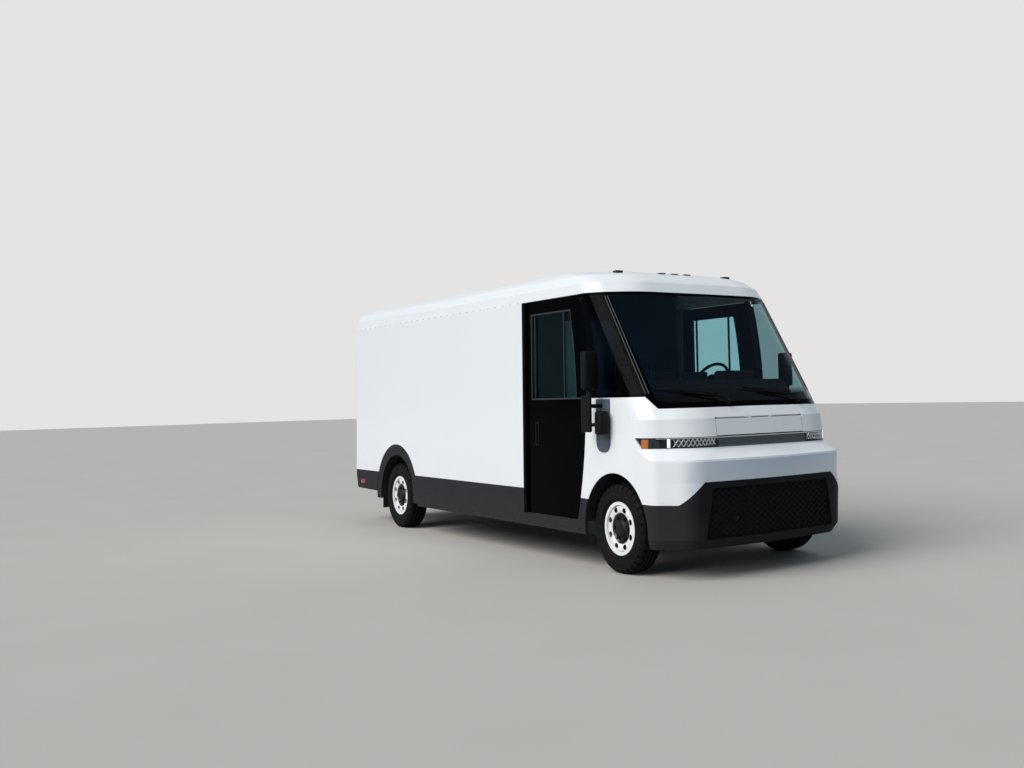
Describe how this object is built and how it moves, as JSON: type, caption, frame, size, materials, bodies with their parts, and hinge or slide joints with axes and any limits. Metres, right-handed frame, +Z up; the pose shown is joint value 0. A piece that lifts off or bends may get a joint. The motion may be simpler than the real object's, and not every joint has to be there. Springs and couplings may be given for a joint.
{
  "type": "electric delivery van",
  "caption": "Electric walk-in delivery van with a stepped roof, sliding side doors, full-width light bar, roll-up load door and steered front wheels.",
  "frame": {"origin": "on the ground under the middle of the van's length and width", "axes": "+Z up; the nose points along -Y; the driver's side, the van's left, is +X"},
  "size_m": [2.45, 6.959, 2.6799],
  "materials": {
    "white_paint": "gloss white",
    "black_gloss": "gloss black",
    "dark_trim": "grained dark grey",
    "black_trim": "satin black",
    "lining_grey": "satin",
    "floor_grey": "satin",
    "cab_grey": "grained grey",
    "seat_fabric": "woven dark grey",
    "clear_lens": "clear",
    "amber_lens": "gloss amber",
    "red_lens": "gloss red",
    "glass_dark": "tinted",
    "black_steel": "satin black",
    "bare_alloy": "cast",
    "white_wheel": "white enamel",
    "tyre_black": "matt",
    "rubber_black": "matt"
  },
  "bodies": {
    "van": {"roof": "white_paint", "right_side_panel": "white_paint", "left_side_panel": "white_paint", "lining": "lining_grey", "load_floor": "floor_grey", "cab_floor": "floor_grey", "rear_portal": "dark_trim", "roll_up_door": "white_paint", "tail_lamps": "red_lens", "rear_bumper": "black_trim", "side_cladding": "dark_trim", "wheel_housings": "dark_trim", "mud_flaps": "rubber_black", "fenders": "white_paint", "bumper_cover": "white_paint", "lower_fascia": "dark_trim", "grille": "black_trim", "light_bar": "black_gloss", "headlamps": "clear_lens", "amber_lamps": "amber_lens", "windscreen": "glass_dark", "quarter_glass": "glass_dark", "cab_frame": "black_gloss", "door_jambs": "black_trim", "door_mirrors": "black_trim", "bulkhead": "lining_grey", "dashboard": "cab_grey", "seat_frame": "cab_grey", "seat_cushion": "seat_fabric", "seat_back": "seat_fabric", "chassis": "black_steel", "battery_pack": "black_steel", "drive_units": "bare_alloy", "suspension": "black_steel"},
    "right_door": {"right_side_door": "black_gloss", "right_door_glass": "glass_dark"},
    "left_door": {"left_side_door": "black_gloss", "left_door_glass": "glass_dark"},
    "load_door": {"bulkhead_door": "lining_grey"},
    "hood": {"hood_lid": "white_paint"},
    "charge_flap": {"charge_lid": "white_paint"},
    "steering": {"steering_wheel": "black_trim"},
    "right_upright": {"right_knuckle": "black_steel"},
    "left_upright": {"left_knuckle": "black_steel"},
    "front_right_road_wheel": {"front_right_wheel": "white_wheel", "front_right_tyre": "tyre_black"},
    "front_left_road_wheel": {"front_left_wheel": "white_wheel", "front_left_tyre": "tyre_black"},
    "rear_right_road_wheel": {"rear_right_wheel": "white_wheel", "rear_right_tyre": "tyre_black"},
    "rear_left_road_wheel": {"rear_left_wheel": "white_wheel", "rear_left_tyre": "tyre_black"}
  },
  "joints": [
    {"name": "right_door_slide", "type": "slide", "parent": "van", "child": "right_door", "axis": [0, 1, 0], "range_m": [0, 1]},
    {"name": "left_door_slide", "type": "slide", "parent": "van", "child": "left_door", "axis": [0, 1, 0], "range_m": [0, 1]},
    {"name": "bulkhead_door_slide", "type": "slide", "parent": "van", "child": "load_door", "axis": [1, 0, 0], "range_m": [0, 0.68]},
    {"name": "hood_hinge", "type": "hinge", "parent": "van", "child": "hood", "pos_m": [0, -3.2545, 1.3], "axis": [1, 0, 0], "range_deg": [-55, 0]},
    {"name": "charge_lid_hinge", "type": "hinge", "parent": "van", "child": "charge_flap", "pos_m": [1.04, -2.4475, 1.055], "axis": [0, 0, 1], "range_deg": [-100, 0]},
    {"name": "right_steer", "type": "hinge", "parent": "van", "child": "right_upright", "pos_m": [-0.762, -2.5405, 0.378], "axis": [0, 0, 1], "range_deg": [-32, 32]},
    {"name": "left_steer", "type": "hinge", "parent": "van", "child": "left_upright", "pos_m": [0.762, -2.5405, 0.378], "axis": [0, 0, 1], "range_deg": [-32, 32]},
    {"name": "steering_wheel_turn", "type": "hinge", "parent": "van", "child": "steering", "pos_m": [0.42, -2.0905, 1.62], "axis": [0, 0.848, 0.5299], "range_deg": [-480, 480]},
    {"name": "front_right_spin", "type": "hinge", "parent": "right_upright", "child": "front_right_road_wheel", "pos_m": [-0.9, -2.5405, 0.378], "axis": [1, 0, 0], "continuous": true},
    {"name": "front_left_spin", "type": "hinge", "parent": "left_upright", "child": "front_left_road_wheel", "pos_m": [0.9, -2.5405, 0.378], "axis": [1, 0, 0], "continuous": true},
    {"name": "rear_right_spin", "type": "hinge", "parent": "van", "child": "rear_right_road_wheel", "pos_m": [-0.9, 2.1205, 0.378], "axis": [1, 0, 0], "continuous": true},
    {"name": "rear_left_spin", "type": "hinge", "parent": "van", "child": "rear_left_road_wheel", "pos_m": [0.9, 2.1205, 0.378], "axis": [1, 0, 0], "continuous": true}
  ],
  "couplings": [
    {"joint": "left_steer", "follows": "right_steer", "ratio": 1},
    {"joint": "steering_wheel_turn", "follows": "right_steer", "ratio": 15}
  ]
}
